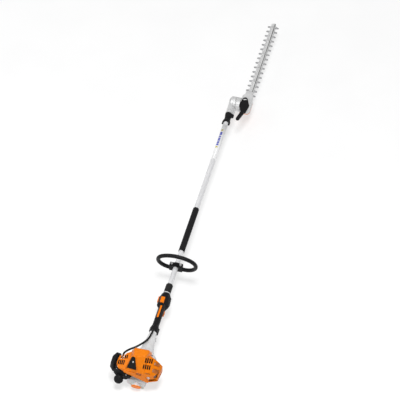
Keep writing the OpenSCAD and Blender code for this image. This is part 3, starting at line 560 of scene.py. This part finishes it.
# ---------------------------------------------------------------- engine details
def engine_details():
    black = LOOKS["black_plastic"]
    draw = Matrix.Rotation(math.radians(14.5), 4, "Z") @ Matrix.Rotation(math.radians(41.9), 4, "X")
    shroud = BVHTree.FromObject(nodes["engine_shroud"], bpy.context.evaluated_depsgraph_get())

    def outer_surface(place, along, up):
        """The point of the shroud under a local point of a slot row, on solid wall."""
        probe = place @ Vector((along * MM, up * MM, 0.06))
        return shroud.ray_cast(probe, -(place.to_3x3() @ Vector((0, 0, 1))))[0]

    def screens(rows, behind):
        """Thin screens that follow the wall behind rows of slots.

        A row is its centre, number of slots, pitch, slot length, lean and fall, in mm and
        degrees, as the slots were cut. The rays go down on the bars between the slots.
        """
        def build(work):
            for point, count, pitch, length, lean, fall in rows:
                place = pose(point) @ draw
                away = place.to_3x3() @ Vector((0, 0, 1))
                lean, fall = math.radians(lean), math.radians(fall)
                columns = []
                for i in range(count + 1):
                    along = (i - count / 2) * pitch
                    foot = (along * math.cos(fall), -along * math.sin(fall))
                    column = []
                    for step in (-0.5, -0.25, 0, 0.25, 0.5):
                        up = step * (length + 2)
                        hit = outer_surface(place, foot[0] + up * math.sin(lean),
                                            foot[1] + up * math.cos(lean))
                        if hit is not None:
                            column.append(hit - away * behind * MM)
                    if len(column) == 5:
                        columns.append(column)
                    elif len(columns) > 1:
                        # Past the edge of the wall the screen runs straight on.
                        columns.append([b + (b - a) * 0.8 for a, b in zip(*columns[-2:])])
                front = [[work.verts.new(p) for p in column] for column in columns]
                back = [[work.verts.new(p - away * MM) for p in column] for column in columns]
                for left, right, left_back, right_back in zip(front, front[1:], back, back[1:]):
                    for k in range(4):
                        work.faces.new([left[k], right[k], right[k + 1], left[k + 1]])
                        work.faces.new([left_back[k], left_back[k + 1], right_back[k + 1],
                                        right_back[k]])
                    for k in (0, 4):
                        work.faces.new([left[k], right[k], right_back[k], left_back[k]])
                for k in range(4):
                    for end in (0, -1):
                        work.faces.new([front[end][k], front[end][k + 1], back[end][k + 1],
                                        back[end][k]])
        return build
    # Painted shade: the black screens behind the cooling slots are dark sheets that stand in for the
    # shadow inside the shroud.
    shade_rows = [((40, -1, 67), 4, 9.5, 22, 12, 11), ((34.6, -22.4, 45), 4, 9.5, 21, 12, 12),
                 ((-82, 15, 40), 4, 8.6, 18, 15, -3), ((-89.5, -14.8, 33.6), 4, 8.2, 21, 15, 3)]
    grille_rows = [((44, -43, 23.6), 5, 5.4, 7, 12, 12), ((2, -48, 11), 5, 5.4, 9, 12, 14),
                   ((75, 11, 36), 5, 5.4, 17, 12, 22), ((76, -17, 20), 6, 5.4, 19, 12, 20)]
    add_piece("slot_shade_screens", mesh_from("slot_shade_screens", screens(shade_rows, 5.5)),
              black, "machine")
    add_piece("silencer_guard", mesh_from("silencer_guard", screens(grille_rows, 5.5)),
              LOOKS["silencer_steel"], "machine")


def screws():
    """Heads of the housing screws, in place of the plain CAD cylinders."""
    def build(work):
        for y in (172, 186):
            cone = 27 - (y - 140) * 8.5 / 65
            screw(work, pose((cone + 0.9, y, 0), (0, 90, 0)), 4, 3.0)
        cover = pose((-28, -31, 64), (61, 0, 0))
        screw(work, cover @ Matrix.Translation((0, 9 * MM, 3 * MM)), 4, 2.0)
        screw(work, pose((-82, 18, 35.5), (0, -36, 0)), 4, 2.5)
        screw(work, pose((-59, -46.5, -13), (90, 0, 0)), 3.5, 2.0)
    piece = add_piece("housing_screw_heads", mesh_from("housing_screw_heads", build),
                      LOOKS["screw_steel"], "machine")
    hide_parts("housing_screws")


# Outline of the plug cover in its own tilted plane, in mm, going clockwise.
PLUG_COVER = [(-5, 33), (4, 33), (7, 29), (19, -30), (-28, -26), (-10, 28)]


def grown(corners, distance):
    """The clockwise outline moved outwards by a distance, with mitred corners."""
    points = []
    for k, corner in enumerate(corners):
        before = (corner - corners[k - 1]).normalized()
        after = (corners[(k + 1) % len(corners)] - corner).normalized()
        out_a, out_b = Vector((-before.y, before.x)), Vector((-after.y, after.x))
        points.append(corner + (out_a + out_b) * distance / (1 + out_a.dot(out_b)))
    return points


def plug_cover_rim():
    """The raised lip of the shroud round the three-cornered plug cover."""
    frame_at = pose((-28, -31, 64), (61, 0, 0))
    corners = [Vector(point) for point in PLUG_COVER]

    def build(work):
        rows = []
        for grow, height in ((0.5, -5), (0.8, 1.2), (1.6, 2.2), (3.0, 2.2), (4.6, 0.4), (5.8, -4)):
            rows.append([work.verts.new(frame_at @ Vector((x * MM, y * MM, height * MM)))
                         for x, y in grown(corners, grow)])
        for inner, outer in zip(rows, rows[1:] + rows[:1]):
            for k in range(len(inner)):
                work.faces.new([inner[k], inner[k - 1], outer[k - 1], outer[k]])
    add_piece("plug_cover_rim", mesh_from("plug_cover_rim", build), LOOKS["shroud_orange"],
              "machine")


def tube_label():
    start, end = 1.360, 1.600

    def build(work):
        r = TUBE_R + 0.00012
        inner = (TUBE_R - 0.0003, start)
        revolve(work, [inner, (r, start + 0.0001), (r, end - 0.0001), (inner[0], end), inner],
                Matrix.Translation(SHAFT_LINE) @ Matrix.Rotation(math.radians(-90), 4, "X"), 64)
    add_piece("tube_label", mesh_from("tube_label", build),
              label_film("label film", start, end), "machine")


def handle_inlay():
    """A light plastic insert in the slot near the end of the adjusting handle."""
    place = pose((60, HINGE_Y / MM + 11.5, 25), (0, 0, 20.6))

    def build(work):
        prism(work, rounded(16.9 * MM, 8.4 * MM, 4.1 * MM, 6), 7.4 * MM, place)
    add_piece("handle_inlay", mesh_from("handle_inlay", build), LOOKS["cast_alloy"],
              "head")


def starter_rope():
    """The rope from the filter base to the starter grip."""
    rope_x, rope_z = -92, -44
    foot_y, held_y, knot_y = -44, -45.5, -51.5
    radius, length, rings = 1.8 * MM, 9.5 * MM, 20

    def build(work):
        outline = [(radius, length * k / rings) for k in range(rings + 1)]
        foot = pose((rope_x, foot_y, rope_z), (90, 0, 0))
        revolve(work, [(0, 0.0)] + outline + [(0, length)], foot, 16)
    rope = bpy.data.objects.new("starter_rope", mesh_from("starter_rope", build))
    bpy.context.scene.collection.objects.link(rope)
    rope.data.materials.append(LOOKS["rope"])
    smooth(rope)
    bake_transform(rope)


engine_details()
handle_inlay()
starter_rope()
screws()
plug_cover_rim()
tube_label()

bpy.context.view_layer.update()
